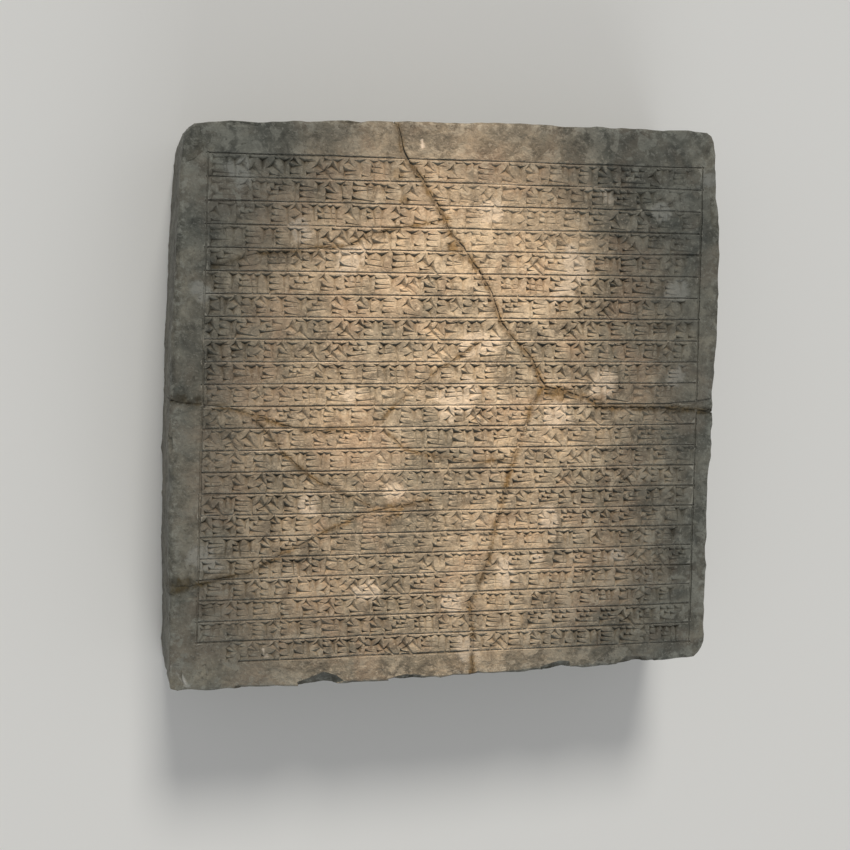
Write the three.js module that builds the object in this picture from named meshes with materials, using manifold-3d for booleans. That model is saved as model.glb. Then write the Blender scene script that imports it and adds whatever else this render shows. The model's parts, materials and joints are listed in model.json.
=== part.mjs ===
// An inscribed foundation slab: one block of grey veined limestone, sawn almost square,
// lying on its back with the written face up.
//
// The written face is ruled into rows by shallow grooves inside a left and a right margin line.
// Each row holds groups of wedge-shaped chisel strokes. The groups are drawn by chance from a few
// patterns and spell nothing. The slab was once broken: two cracks and their branches cross the
// written face, and the lower edge and the corners have lost chips.
//
// Units are millimetres. The origin is under the middle of the slab, on the surface it lies on.
// +Z is up, out of the written face. +X runs along the rows and +Y towards the first row.

import * as THREE from "three";
import { mergeVertices } from "three/addons/utils/BufferGeometryUtils.js";
import Module from "manifold-3d";

const wasm = await Module();
wasm.setup();

// The block
const slabWidth = 336; // along the rows
const slabHeight = 333; // first row to last
const slabThickness = 85;
const arris = 2.5; // worn edge between a face and the sides
const edgeSamples = 14; // points along one edge of the outline
const cornerSamples = 4; // points round one corner

// How far each corner stands in from the corner of the full width and height, and its rounding
const corners = {
  bottomLeft: { inX: 1.9, inY: 0.5, round: 4 },
  bottomRight: { inX: 2.4, inY: 7.0, round: 11 },
  topRight: { inX: 5.9, inY: 0.1, round: 9 },
  topLeft: { inX: 9.5, inY: 8.6, round: 11 },
};

// How far each edge swells past the straight line between its corners, and where: the edges run
// anticlockwise from the bottom left corner, and each share is counted the same way
const swells = {
  bottom: { by: 2.2, at: 0.45 },
  right: { by: 4.5, at: 0.75 },
  top: { by: 2.6, at: 0.5 },
  left: { by: 3.3, at: 0.42 },
};
const edgeWaver = 0.35; // small unevenness of the cut edges
const edgeWaves = 5;

// The written field, as margins from the full width and height
const marginLeftTop = 22.7;
const marginLeftBottom = 17.2;
const marginRightTop = 14.3;
const marginRightBottom = 13.1;
const marginTopLeft = 25.3;
const marginTopRight = 22.1;
const marginBottomLeft = 16.3;
const marginBottomRight = 17.7;
const rowCount = 23;
const rowTaper = 0.05; // the first rows are taller than the middle ones by this share, the last lower
const ruleWidth = 1.2;
const ruleDepth = 0.5;
const marginWidth = 1.5; // the upright line at either end of the rows is cut a little deeper
const marginDepth = 0.65;
const ruleOvershoot = 1; // how far lines run past each other where they cross
const lastRuleInset = 24; // the line under the last row starts late, and so does the row itself
const lastRowInset = 15;

// The strokes
const strokeHead = 5; // width of a full-size wedge's head
const strokeDepth = 1.7;
const strokeRun = 0.26; // how far the deepest point lies behind the head, as a share of its width
const signGap = 2; // between two groups of strokes
const signMargin = 1.2; // kept clear above and below the strokes
const firstSeed = 4711;

// The breaks: each crack is a run of points, as shares of half the slab's width and height from
// its middle. The open cracks are wider than the closed ones, which are little more than a line
const openCrack = { width: 2.4, depth: 1.0 };
const closedCrack = { width: 1.2, depth: 0.5 };
const crackFall = 60; // how far down the side a crack still gapes
const cracks = [
  {
    // from the top edge down to where the three large pieces meet
    lips: openCrack,
    ends: ["top"],
    points: [
      [-0.232, 1.02], [-0.2, 0.885], [-0.174, 0.834], [-0.145, 0.811], [-0.064, 0.683],
      [-0.02, 0.597], [0.028, 0.546], [0.122, 0.407], [0.161, 0.301], [0.2, 0.248],
      [0.287, 0.16], [0.315, 0.088], [0.335, 0.063],
    ],
  },
  {
    // from there to the right edge
    lips: openCrack,
    ends: ["right"],
    points: [
      [0.335, 0.063], [0.391, 0.052], [0.506, 0.016], [0.545, -0.013], [0.7, -0.013],
      [0.896, -0.02], [1.02, -0.028],
    ],
  },
  {
    // and from there to the bottom edge
    lips: openCrack,
    ends: ["bottom"],
    points: [
      [0.335, 0.063], [0.31, 0.04], [0.28, -0.021], [0.263, -0.093], [0.228, -0.184],
      [0.194, -0.31], [0.177, -0.401], [0.16, -0.455], [0.136, -0.565], [0.101, -0.673],
      [0.072, -0.709], [0.083, -0.856], [0.086, -1.02],
    ],
  },
  {
    // two closed cracks that run out to the left edge
    lips: closedCrack,
    ends: ["left"],
    points: [
      [0.09, 0.229], [-0.196, 0.015], [-0.301, -0.091], [-0.547, -0.091], [-0.787, -0.014],
      [-1.02, 0.013],
    ],
  },
  {
    lips: closedCrack,
    ends: ["left"],
    points: [
      [-0.082, -0.343], [-0.297, -0.382], [-0.403, -0.427], [-0.543, -0.494], [-0.715, -0.585],
      [-0.868, -0.62], [-1.02, -0.658],
    ],
  },
];

// Chips broken from the front edge: on which edge, where along it, and half sizes
const chips = [
  { edge: "bottom", along: 0.27, size: [14, 7.5, 9] },
  { edge: "bottom", along: 0.43, size: [11, 4.0, 7] },
  { edge: "bottom", along: 0.73, size: [10, 4.5, 6] },
  { edge: "bottom", along: 0.89, size: [12, 5.0, 8] },
];

// Shallow hollows worn or flaked from the face at its edge, given in the same way
const hollows = [
  { edge: "right", along: 0.485, size: [32, 5.0, 1.8] },
  { edge: "right", along: 0.9, size: [7, 20, 4] },
  { edge: "left", along: 0.0, size: [12, 12, 2.5] },
  { edge: "left", along: 0.83, size: [15, 6.0, 1.8] },
  { edge: "left", along: 1.0, size: [12, 12, 2.5] },
];

const faceZ = slabThickness;
const cutClear = 1; // how far a cutter stands out of the face it cuts

// A three.js geometry as a solid that can be cut.
function solidFrom(geometry) {
  const bare = geometry.clone();
  bare.deleteAttribute("normal");
  bare.deleteAttribute("uv");
  const merged = mergeVertices(bare, 1e-4);
  return new wasm.Manifold(
    new wasm.Mesh({
      numProp: 3,
      vertProperties: new Float32Array(merged.attributes.position.array),
      triVerts: new Uint32Array(merged.index.array),
    }),
  );
}

// A cut solid as a three.js geometry.
function geometryFrom(solid) {
  const mesh = solid.getMesh();
  const geometry = new THREE.BufferGeometry();
  geometry.setAttribute("position", new THREE.BufferAttribute(mesh.vertProperties, 3));
  geometry.setIndex(new THREE.BufferAttribute(mesh.triVerts, 1));
  geometry.computeVertexNormals();
  return geometry;
}

// Numbers from 0 to 1 that look random and are the same every time.
function numberSource(seed) {
  const modulus = 2147483647;
  const multiplier = 16807;
  let state = seed;
  return () => {
    state = (state * multiplier) % modulus;
    return state / modulus;
  };
}

// The corners of the block before they are rounded, and the edges between them, anticlockwise.
function blockEdges() {
  const x = slabWidth / 2;
  const y = slabHeight / 2;
  const { bottomLeft, bottomRight, topRight, topLeft } = corners;
  const ends = [
    { at: new THREE.Vector2(bottomLeft.inX - x, bottomLeft.inY - y), round: bottomLeft.round },
    { at: new THREE.Vector2(x - bottomRight.inX, bottomRight.inY - y), round: bottomRight.round },
    { at: new THREE.Vector2(x - topRight.inX, y - topRight.inY), round: topRight.round },
    { at: new THREE.Vector2(topLeft.inX - x, y - topLeft.inY), round: topLeft.round },
  ];
  return ["bottom", "right", "top", "left"].map((name, i) => {
    const start = ends[i];
    const end = ends[(i + 1) % 4];
    const way = end.at.clone().sub(start.at).normalize();
    return {
      name,
      way,
      out: new THREE.Vector2(way.y, -way.x),
      from: start.at.clone().addScaledVector(way, start.round),
      to: end.at.clone().addScaledVector(way, -end.round),
      corner: end.at,
      swell: swells[name],
      phase: i,
    };
  });
}

// The point of an edge at a share of the way along it.
function edgePoint(edge, share) {
  const { from, to, out, swell, phase } = edge;
  const peak = Math.log(0.5) / Math.log(swell.at);
  const swollen = swell.by * Math.sin(Math.PI * share ** peak);
  const fade = Math.sin(Math.PI * share);
  const waver = edgeWaver * fade * Math.sin(2 * Math.PI * edgeWaves * share + phase);
  return from.clone().lerp(to, share).addScaledVector(out, swollen + waver);
}

// The outline of the slab: four swelling, slightly uneven edges and four rounded corners.
function slabOutline() {
  const edges = blockEdges();
  const points = [];
  edges.forEach((edge, i) => {
    const next = edges[(i + 1) % edges.length];
    for (let n = 0; n < edgeSamples; n++) {
      points.push(edgePoint(edge, n / (edgeSamples - 1)));
    }
    const bend = new THREE.QuadraticBezierCurve(edge.to, edge.corner, next.from);
    points.push(...bend.getPoints(cornerSamples + 1).slice(1, -1));
  });
  return new THREE.Shape(points);
}

// The whole block, with its edges worn round at the front and the back.
function slabBlock() {
  const block = new THREE.ExtrudeGeometry(slabOutline(), {
    depth: slabThickness - 2 * arris,
    bevelThickness: arris,
    bevelSize: arris,
    bevelOffset: -arris,
    bevelSegments: 2,
  });
  block.translate(0, 0, arris);
  return solidFrom(block);
}

// The four corners of the written field.
function fieldCorners() {
  const x = slabWidth / 2;
  const y = slabHeight / 2;
  return {
    topLeft: new THREE.Vector2(marginLeftTop - x, y - marginTopLeft),
    topRight: new THREE.Vector2(x - marginRightTop, y - marginTopRight),
    bottomLeft: new THREE.Vector2(marginLeftBottom - x, marginBottomLeft - y),
    bottomRight: new THREE.Vector2(x - marginRightBottom, marginBottomRight - y),
  };
}

// How far down the field each ruled line lies, as a share: the first rows are the tallest.
function ruleShares() {
  const heights = [];
  for (let n = 0; n < rowCount; n++) {
    heights.push(1 + rowTaper * (1 - (2 * (n + 0.5)) / rowCount));
  }
  const total = heights.reduce((sum, height) => sum + height, 0);
  const shares = [0];
  heights.forEach((height) => shares.push(shares.at(-1) + height / total));
  return shares;
}

// The ruled lines, each from the left margin to the right one.
function ruledLines() {
  const field = fieldCorners();
  return ruleShares().map((share) => ({
    left: field.topLeft.clone().lerp(field.bottomLeft, share),
    right: field.topRight.clone().lerp(field.bottomRight, share),
  }));
}

// A point a little way on from one point towards another.
function stepped(from, to, step) {
  return from.clone().addScaledVector(to.clone().sub(from).normalize(), step);
}

// A line with both its ends drawn out by the overshoot.
function overshot(from, to) {
  return [stepped(from, to, -ruleOvershoot), stepped(to, from, -ruleOvershoot)];
}

// A groove with a V section, cut into the written face along a run of points, mitred where it
// turns.
function groove(run, width, depth) {
  const open = (width / 2) * (1 + cutClear / depth);
  const ways = run.slice(1).map((point, n) => point.clone().sub(run[n]).normalize());
  const rings = run.map((point, n) => {
    const before = ways[Math.max(n - 1, 0)];
    const after = ways[Math.min(n, ways.length - 1)];
    const mitre = before.clone().add(after).normalize();
    const reach = open / mitre.dot(after);
    const side = new THREE.Vector2(-mitre.y, mitre.x).multiplyScalar(reach);
    return [
      new THREE.Vector3(point.x + side.x, point.y + side.y, faceZ + cutClear),
      new THREE.Vector3(point.x, point.y, faceZ - depth),
      new THREE.Vector3(point.x - side.x, point.y - side.y, faceZ + cutClear),
    ];
  });
  const corners3 = [];
  const first = rings[0];
  const last = rings.at(-1);
  corners3.push(first[0], first[1], first[2], last[2], last[1], last[0]);
  rings.slice(1).forEach((far, n) => {
    const near = rings[n];
    for (let i = 0; i < 3; i++) {
      const j = (i + 1) % 3;
      corners3.push(near[i], far[i], far[j], near[i], far[j], near[j]);
    }
  });
  return solidFrom(new THREE.BufferGeometry().setFromPoints(corners3));
}

// The ruled lines and the two margin lines, as grooves.
function ruleGrooves() {
  const lines = ruledLines();
  const last = lines.at(-1);
  const beforeLast = lines.at(-2);
  const rules = lines.slice(0, -1).map(({ left, right }) => overshot(left, right));
  rules.push([stepped(last.left, last.right, lastRuleInset), overshot(last.left, last.right)[1]]);
  return [
    ...rules.map((run) => groove(run, ruleWidth, ruleDepth)),
    groove(overshot(lines[0].left, beforeLast.left), marginWidth, marginDepth),
    groove(overshot(lines[0].right, last.right), marginWidth, marginDepth),
  ];
}

// One wedge-shaped chisel stroke: broad and deep at its head, and running out to a point.
function strokeCutter({ head, angle, length, width, depth }) {
  const open = 1 + cutClear / depth;
  const run = width * strokeRun;
  const points = [
    new THREE.Vector3(run - run * open, (width / 2) * open, cutClear),
    new THREE.Vector3(run - run * open, (-width / 2) * open, cutClear),
    new THREE.Vector3(run + (length - run) * open, 0, cutClear),
    new THREE.Vector3(run, 0, -depth),
  ];
  const faces = [0, 1, 2, 0, 3, 1, 1, 3, 2, 2, 3, 0];
  const wedge = new THREE.BufferGeometry().setFromPoints(faces.map((n) => points[n]));
  wedge.rotateZ(angle);
  wedge.translate(head.x, head.y, faceZ);
  return solidFrom(wedge);
}

// The stroke groups. Each gives its strokes in a cell of height 1, the main ones first: where the
// head is, which way the tail runs, and how long it is. Count is 0 to 1.
const east = 0;
const south = -Math.PI / 2;
const southEast = -Math.PI / 4;
const northEast = Math.PI / 4;

const post = (x, head = 1, length = 1) => ({ x, y: 1, angle: south, length, width: head });
const bar = (x, y, length, head = 0.85) => ({ x, y, angle: east, length, width: head });
const row = (count, stroke) => Array.from({ length: count }, (_, n) => stroke(n));

const stack = (width, count) => {
  const bars = 2 + Math.floor(count * 2);
  const level = (n) => (n + 0.5) / bars;
  return [
    bar(0, level(0), 0.85 * width, 1.2 - 0.16 * bars),
    post(0.92 * width),
    ...row(bars - 1, (n) => bar(0, level(n + 1), 0.85 * width, 1.2 - 0.16 * bars)),
  ];
};

const comb = (width, count) => {
  const posts = 2 + Math.floor(count * 2);
  return [
    ...row(posts, (n) => post((width * (n + 0.5)) / posts, 1.15 - 0.1 * posts)),
    bar(0, 0.3, width, 0.7),
  ];
};

const cross = (width, count) => [
  post(0.7 * width),
  bar(0, 0.3 + 0.2 * count, 0.65 * width, 0.9),
  { x: 0.1 * width, y: 0.92, angle: southEast, length: 0.4, width: 0.8 },
  bar(0.75 * width, 0.15, 0.35 * width, 0.6),
];

const gate = (width, count) => [
  post(0.1 * width, 0.9),
  post(0.92 * width, 0.9),
  bar(0.2 * width, 0.75, 0.6 * width, 0.65),
  bar(0.2 * width, 0.45, 0.6 * width, 0.65),
  bar(0.2 * width, 0.1 + 0.1 * count, 0.6 * width, 0.65),
];

const hooks = (width, count) => {
  const ticks = 1 + Math.floor(count * 3);
  const tick = (n) => ({
    x: (0.8 * width * (n + 0.1)) / ticks,
    y: 0.7 - 0.25 * (n % 2),
    angle: southEast,
    length: 0.5,
    width: 1,
  });
  return [...row(ticks, tick), post(0.92 * width, 0.9, 0.8), bar(0, 0.1, 0.8 * width, 0.6)];
};

const pairs = (width, count) => {
  const across = 2 + Math.floor(count * 2);
  const step = width / across;
  return [
    bar(0, 0.2, width),
    ...row(across, (n) => bar(n * step, 0.8, 0.9 * step, 0.75)),
    ...row(across - 1, (n) => bar((n + 0.5) * step, 0.5, 0.9 * step, 0.65)),
  ];
};

const slant = (width, count) => [
  { x: 0.05, y: 0.9, angle: southEast, length: 0.75, width: 0.9 },
  post(0.95 * width, 0.9, 0.6 + 0.3 * count),
  { x: 0.05, y: 0.15, angle: northEast, length: 0.6, width: 0.75 },
  bar(0.45 * width, 0.5, 0.4 * width, 0.7),
];

// How broad each pattern is, as shares of the cell's height, and how many of its strokes are cut
// in this solid. The rest are finer.
const patterns = [
  { strokes: stack, narrow: 1.0, broad: 1.4, bold: 2 },
  { strokes: comb, narrow: 1.0, broad: 1.4, bold: 1 },
  { strokes: cross, narrow: 1.0, broad: 1.3, bold: 1 },
  { strokes: gate, narrow: 1.1, broad: 1.5, bold: 2 },
  { strokes: hooks, narrow: 0.8, broad: 1.4, bold: 1 },
  { strokes: pairs, narrow: 1.0, broad: 1.6, bold: 1 },
  { strokes: slant, narrow: 1.0, broad: 1.3, bold: 1 },
];

// The strokes of one row, between its upper line and its lower one, from an inset on.
function rowStrokes(upper, lower, inset, draw) {
  const along = lower.right.clone().sub(lower.left);
  const way = along.clone().normalize();
  const up = upper.left.clone().sub(lower.left).normalize();
  const tall = upper.left.distanceTo(lower.left) - 2 * signMargin;
  const base = lower.left.clone().addScaledVector(up, signMargin);
  const strokes = [];
  let cursor = inset + signGap;
  while (true) {
    const pattern = patterns[Math.floor(draw() * patterns.length)];
    const width = pattern.narrow + (pattern.broad - pattern.narrow) * draw();
    const count = draw();
    if (cursor + width * tall > along.length()) break;
    for (const stroke of pattern.strokes(width, count).slice(0, pattern.bold)) {
      const head = base.clone().addScaledVector(way, cursor + stroke.x * tall);
      strokes.push({
        head: head.addScaledVector(up, stroke.y * tall),
        angle: stroke.angle + way.angle(),
        length: stroke.length * tall,
        width: stroke.width * strokeHead,
        depth: strokeDepth * Math.sqrt(stroke.width),
      });
    }
    cursor += width * tall + signGap;
  }
  return strokes;
}

// The strokes of every row, as cutters.
function inscription() {
  const draw = numberSource(firstSeed);
  const lines = ruledLines();
  const cutters = [];
  for (let n = 0; n < rowCount; n++) {
    const inset = n === rowCount - 1 ? lastRowInset : 0;
    cutters.push(...rowStrokes(lines[n], lines[n + 1], inset, draw).map(strokeCutter));
  }
  return cutters;
}

// The cracks in the written face, as grooves between the points they pass.
function crackGrooves() {
  const half = new THREE.Vector2(slabWidth / 2, slabHeight / 2);
  return cracks.map(({ lips, points }) => {
    const run = points.map((share) => new THREE.Vector2(...share).multiply(half));
    return groove(run, lips.width, lips.depth);
  });
}

// Where a crack leaves the written face it runs on down the side, closing as it goes. Its lips
// have worn away at the arris.
function crackDown({ lips, ends, points }) {
  const edge = blockEdges().find(({ name }) => name === ends[0]);
  const half = new THREE.Vector2(slabWidth / 2, slabHeight / 2);
  const last = ends[0] === "top" ? points[0] : points.at(-1);
  const goal = new THREE.Vector2(...last).multiply(half);
  const reach = edge.to.clone().sub(edge.from);
  const share = goal.sub(edge.from).dot(reach) / reach.lengthSq();
  const at = edgePoint(edge, THREE.MathUtils.clamp(share, 0, 1));
  const inward = arris + lips.depth;
  const open = 1 + cutClear / inward;
  const side = edge.way.clone().multiplyScalar((lips.width / 2) * open);
  const outside = at.clone().addScaledVector(edge.out, cutClear);
  const inside = at.clone().addScaledVector(edge.out, -inward);
  const top = faceZ + cutClear;
  const corner = (point, z) => new THREE.Vector3(point.x, point.y, z);
  const points3 = [
    corner(outside.clone().sub(side), top),
    corner(outside.clone().add(side), top),
    corner(inside, top),
    corner(outside, faceZ - crackFall),
  ];
  const faces = [0, 1, 2, 0, 3, 1, 1, 3, 2, 2, 3, 0];
  const notch = new THREE.BufferGeometry().setFromPoints(faces.map((n) => points3[n]));
  return solidFrom(notch);
}

// One chip or hollow at the front edge, shaped like the inside of a shell.
function chipCutter({ edge, along, size }) {
  const at = edgePoint(blockEdges().find(({ name }) => name === edge), along);
  const shell = new THREE.IcosahedronGeometry(1, 1);
  shell.scale(...size);
  shell.translate(at.x, at.y, faceZ);
  return solidFrom(shell);
}

function inscribedSlab() {
  const cutters = [
    ...ruleGrooves(),
    ...inscription(),
    ...crackGrooves(),
    ...cracks.map(crackDown),
    ...[...chips, ...hollows].map(chipCutter),
  ];
  const stone = slabBlock().subtract(wasm.Manifold.union(cutters));
  const material = new THREE.MeshStandardMaterial({
    color: 0x8f887a,
    roughness: 0.8,
    metalness: 0,
  });
  const mesh = new THREE.Mesh(geometryFrom(stone), material);
  mesh.name = "inscribed_slab";
  return mesh;
}

const part = new THREE.Group();
part.add(inscribedSlab());

export default part;
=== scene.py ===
# %% [markdown]
# # An inscribed stone slab, step by step
# The object is one heavy block of grey veined stone, almost square, with a written face. It was
# cut to size, its face was smoothed and ruled into rows, and a mason cut wedge-shaped strokes
# between the lines. Later it broke, was joined again, and lost chips along its edges.
# This lesson builds it in the order a mason would: the block, the rulings, the strokes, and
# then what time did to it. The signs are patterns drawn by chance and spell nothing.

import json
import math

import bmesh
import bpy
import numpy as np
from mathutils import Matrix, Vector, noise

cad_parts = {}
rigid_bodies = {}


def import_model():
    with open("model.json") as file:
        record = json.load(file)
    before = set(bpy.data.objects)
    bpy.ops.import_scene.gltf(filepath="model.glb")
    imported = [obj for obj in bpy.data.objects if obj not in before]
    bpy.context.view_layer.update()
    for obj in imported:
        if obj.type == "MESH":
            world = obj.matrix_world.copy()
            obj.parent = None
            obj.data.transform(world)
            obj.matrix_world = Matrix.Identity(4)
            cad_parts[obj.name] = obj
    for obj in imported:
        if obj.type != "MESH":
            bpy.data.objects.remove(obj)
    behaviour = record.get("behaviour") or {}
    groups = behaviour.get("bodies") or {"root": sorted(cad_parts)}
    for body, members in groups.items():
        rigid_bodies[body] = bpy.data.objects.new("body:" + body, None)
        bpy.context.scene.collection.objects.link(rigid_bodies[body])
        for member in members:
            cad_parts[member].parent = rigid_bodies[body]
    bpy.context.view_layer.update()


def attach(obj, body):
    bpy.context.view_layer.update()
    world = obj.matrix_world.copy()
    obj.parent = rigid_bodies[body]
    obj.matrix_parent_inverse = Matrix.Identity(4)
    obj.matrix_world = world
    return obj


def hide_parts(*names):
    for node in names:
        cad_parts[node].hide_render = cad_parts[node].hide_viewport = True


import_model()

# %% [markdown]
# ## The camera
# The slab lies on its back, so the camera looks down on it. Its place was worked out from the
# outline of the slab: to the left of the middle and about 80 cm above the face, with a slight
# turn. A camera's own axes are right, up and backwards, so those three directions are the
# columns of its rotation.

# %% Place the camera
def put_in_scene(name, data):
    """A new object in the scene."""
    made = bpy.data.objects.new(name, data)
    bpy.context.collection.objects.link(made)
    return made


mm = 0.001
slab_thickness = 85 * mm
image_width = 850
focal_pixels = 1400
camera_place = Vector((-209.07, 55.89, 801.30)) * mm + Vector((0, 0, slab_thickness))
camera_right = Vector((0.9728, 0.01747, 0.2310))
camera_up = Vector((0.00213, 0.99643, -0.08434))

camera_data = bpy.data.cameras.new("camera")
camera_data.sensor_width = 36
camera_data.lens = camera_data.sensor_width * focal_pixels / image_width
camera = put_in_scene("camera", camera_data)
camera_back = camera_right.cross(camera_up).normalized()
camera_up = camera_back.cross(camera_right).normalized()
turned = Matrix((camera_right.normalized(), camera_up, camera_back)).transposed()
camera.matrix_world = Matrix.Translation(camera_place) @ turned.to_4x4()
bpy.context.scene.camera = camera
print("camera at", [round(value, 3) for value in camera_place], "lens", round(camera_data.lens, 1))

# %% [markdown]
# ## The sizes of the slab
# These are the same sizes as in the solid model, in metres. Keeping them in one place means that
# the carving made here lands where the solid has it.

# %% Name the sizes
slab_width = 336 * mm
slab_height = 333 * mm
arris = 2.5 * mm
# How far each corner lies in from the sides, and how far its rounding reaches.
corner_in = {
    "bottom_left": (1.9 * mm, 0.5 * mm, 4 * mm),
    "bottom_right": (2.4 * mm, 7.0 * mm, 11 * mm),
    "top_right": (5.9 * mm, 0.1 * mm, 9 * mm),
    "top_left": (9.5 * mm, 8.6 * mm, 11 * mm),
}
# How far each edge swells, and where along it the most.
swells = [(2.2 * mm, 0.45), (4.5 * mm, 0.75), (2.6 * mm, 0.5), (3.3 * mm, 0.42)]
edge_waver = 0.35 * mm
edge_waves = 5
edge_names = ["bottom", "right", "top", "left"]

# %% [markdown]
# ## The outline
# Each edge of the slab swells a little between its corners, by up to 4.5 mm on the right, and each
# corner is rounded differently. The outline is a run of points, anticlockwise from the lower left.

# %% Draw the outline
def from_corner(name, across, down):
    """A place that lies in from one corner of the slab's box."""
    x = (slab_width / 2 - across) * (-1 if "left" in name else 1)
    y = (slab_height / 2 - down) * (-1 if "bottom" in name else 1)
    return np.array([x, y])


def slab_edges():
    """The four edges between the rounded corners."""
    ends = [(from_corner(name, x, y), bend) for name, (x, y, bend) in corner_in.items()]
    edges = []
    for i in range(4):
        start, round_start = ends[i]
        end, round_end = ends[(i + 1) % 4]
        way = (end - start) / np.linalg.norm(end - start)
        edges.append({
            "way": way,
            "out": np.array([way[1], -way[0]]),
            "start": start + way * round_start,
            "stop": end - way * round_end,
            "corner": end,
            "swell": swells[i],
            "phase": i,
        })
    return edges


def edge_point(edge, share):
    """The point of an edge at a share of the way along it."""
    by, at = edge["swell"]
    swollen = by * math.sin(math.pi * share ** (math.log(0.5) / math.log(at)))
    waver = edge_waver * math.sin(math.pi * share)
    waver *= math.sin(2 * math.pi * edge_waves * share + edge["phase"])
    straight = edge["start"] + (edge["stop"] - edge["start"]) * share
    return straight + edge["out"] * (swollen + waver)


def outline_sides(samples=160, corner_samples=24):
    """Four runs of points, each from the middle of one corner to the middle of the next."""
    edges = slab_edges()
    bends = []
    for i, edge in enumerate(edges):
        following = edges[(i + 1) % 4]
        u = np.linspace(0, 1, corner_samples + 1)[:, None]
        bends.append((1 - u) ** 2 * edge["stop"] + 2 * u * (1 - u) * edge["corner"]
                     + u ** 2 * following["start"])
    half = corner_samples // 2
    sides = []
    for i, edge in enumerate(edges):
        run = [edge_point(edge, n / (samples - 1)) for n in range(samples)]
        sides.append(np.vstack([bends[i - 1][half:-1], run, bends[i][1:half + 1]]))
    return sides


sides = outline_sides()
side_lengths = [np.r_[0, np.cumsum(np.linalg.norm(np.diff(s, axis=0), axis=1))] for s in sides]
print("outline", [round(length[-1] * 1000, 1) for length in side_lengths], "mm a side")


def around(side, share):
    """A point of the outline: which side, and how far along it from 0 to 1."""
    lengths = side_lengths[side]
    place = share * lengths[-1]
    return np.array([np.interp(place, lengths, sides[side][:, k]) for k in (0, 1)])

# %% [markdown]
# ## The block
# The written face is a grid bent to the outline: each square ring of the grid is the outline made
# smaller. The grid ends where the arris begins, rings of points carry on over the arris and down
# the side, and the flat back closes the block. Every ring has as many points as the last, so the
# faces between them are plain quads. Noise then moves the points: hardly on the face, a little on
# the arris, and most on the sides, which were only dressed with a pointed tool.

# %% Lay out the block
face_cells = 80
side_rings = 21
arris_rings = 4
grain_seed = Vector((3.1, 7.7, 1.9))


def rough(point, scale, octaves=3):
    """Soft noise from about -1 to 1 at a point; scale is in bumps per metre."""
    total, strength = 0.0, 1.0
    for octave in range(octaves):
        total += strength * noise.noise(point * scale * 2 ** octave + grain_seed * (octave + 1))
        strength *= 0.5
    return total


ring = np.array([around(side, n / face_cells) for side in range(4) for n in range(face_cells)])
ring_way = np.roll(ring, -1, axis=0) - np.roll(ring, 1, axis=0)
ring_way /= np.linalg.norm(ring_way, axis=1)[:, None]
ring_out = np.column_stack([ring_way[:, 1], -ring_way[:, 0]])
print("points round the slab", len(ring))

# %% Wear of the arris
# Each worn corner has its place in millimetres, how far its wear reaches, and how much it adds.
corner_wear = [
    ((-159, 158), 26, 2.6),
    ((165, 150), 26, 1.6),
    ((163, -158), 20, 1.2),
    ((-165, -164), 20, 1.2),
]
arris_change, least_wear = 0.45, 0.5


def arris_at(x, y):
    """The width of the worn arris at a point of the outline."""
    wear = 1.0 + arris_change * rough(Vector((x, y, 0.3)), 28, 3)
    for (cx, cy), reach, more in corner_wear:
        apart = math.hypot(x / mm - cx, y / mm - cy) / reach
        wear += more * max(0.0, 1 - apart) * 0.5
    return arris * max(least_wear, wear)


ring_arris = np.array([arris_at(x, y) for x, y in ring])
print("arris", round(ring_arris.min() / mm, 1), "to", round(ring_arris.max() / mm, 1), "mm")

# %% Grid of the written face
rim = ring - ring_out * ring_arris[:, None]


def bent_point(u, v):
    """A point of the face for places from -1 to 1 on a square that is bent to the outline."""
    size = max(abs(u), abs(v))
    if size == 0:
        return np.zeros(2)
    u, v = u / size, v / size
    if abs(v) >= abs(u):
        side, share = (0, (u + 1) / 2) if v < 0 else (2, (1 - u) / 2)
    else:
        side, share = (1, (v + 1) / 2) if u > 0 else (3, (1 - v) / 2)
    place = side * face_cells + share * face_cells
    part = place - math.floor(place)
    low = int(math.floor(place)) % len(rim)
    return (rim[low] * (1 - part) + rim[(low + 1) % len(rim)] * part) * size


def face_grid(mesh):
    """The written face as quads. Gives the points of its border, anticlockwise."""
    n = face_cells
    points = {(a, b): mesh.verts.new((*bent_point(2 * a / n - 1, 2 * b / n - 1), slab_thickness))
              for a in range(n + 1) for b in range(n + 1)}
    for a in range(n):
        for b in range(n):
            mesh.faces.new([points[a, b], points[a + 1, b], points[a + 1, b + 1], points[a, b + 1]])
    return ([points[a, 0] for a in range(n)] + [points[n, b] for b in range(n)]
            + [points[n - a, n] for a in range(n)] + [points[0, n - b] for b in range(n)])


block = bmesh.new()
last_ring = face_grid(block)
print("face", len(block.faces), "quads, border", len(last_ring), "points")

# %% Arris, sides and back
def next_ring(mesh, last, inset, height):
    """A ring of points at an inset and a height, joined to the last ring by quads."""
    points = ring - ring_out * np.broadcast_to(inset, len(ring))[:, None]
    heights = np.broadcast_to(height, len(ring))
    new = [mesh.verts.new((x, y, z)) for (x, y), z in zip(points, heights)]
    for i in range(len(new)):
        j = (i + 1) % len(new)
        mesh.faces.new([last[i], new[i], new[j], last[j]])
    return new


for step in range(1, arris_rings + 1):
    turn = math.pi / 2 * step / arris_rings
    last_ring = next_ring(block, last_ring, ring_arris * (1 - math.sin(turn)),
                          slab_thickness - ring_arris * (1 - math.cos(turn)))
for step in range(1, side_rings + 1):
    part = step / side_rings
    down = (slab_thickness - ring_arris) * (1 - part) + arris * part
    last_ring = next_ring(block, last_ring, 0, down)
for step in range(1, arris_rings + 1):
    turn = math.pi / 2 * step / arris_rings
    last_ring = next_ring(block, last_ring, arris * (1 - math.cos(turn)),
                          arris * (1 - math.sin(turn)))
block.faces.new(last_ring)
print("block faces", len(block.faces))

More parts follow.
